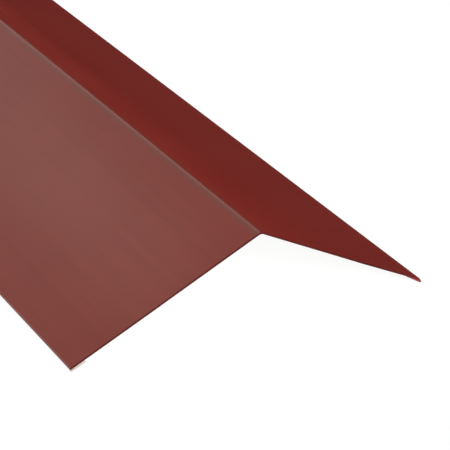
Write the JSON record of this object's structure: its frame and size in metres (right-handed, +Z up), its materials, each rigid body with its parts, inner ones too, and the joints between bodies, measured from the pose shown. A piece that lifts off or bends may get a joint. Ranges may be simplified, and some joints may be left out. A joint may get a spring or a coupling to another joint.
{
  "type": "roof ridge cap",
  "caption": "Long sheet-steel roof ridge cap: a wide shallow V with a rounded ridge bend and open hems folded under both long edges, to cover the joint of two roof slopes.",
  "frame": {"origin": "bottom centre of the cap: on the level that the two hems stand on, under the ridge, half way along its length", "axes": "+X along the ridge, +Y across it to the right slope, +Z up to the ridge"},
  "size_m": [2, 0.2586, 0.066],
  "materials": {
    "brown_red_coat": "satin coil coating, brown red on the top side; the back side has a pale grey-beige primer coat"
  },
  "bodies": {
    "root": {"ridge_cap": "brown_red_coat"}
  },
  "joints": []
}
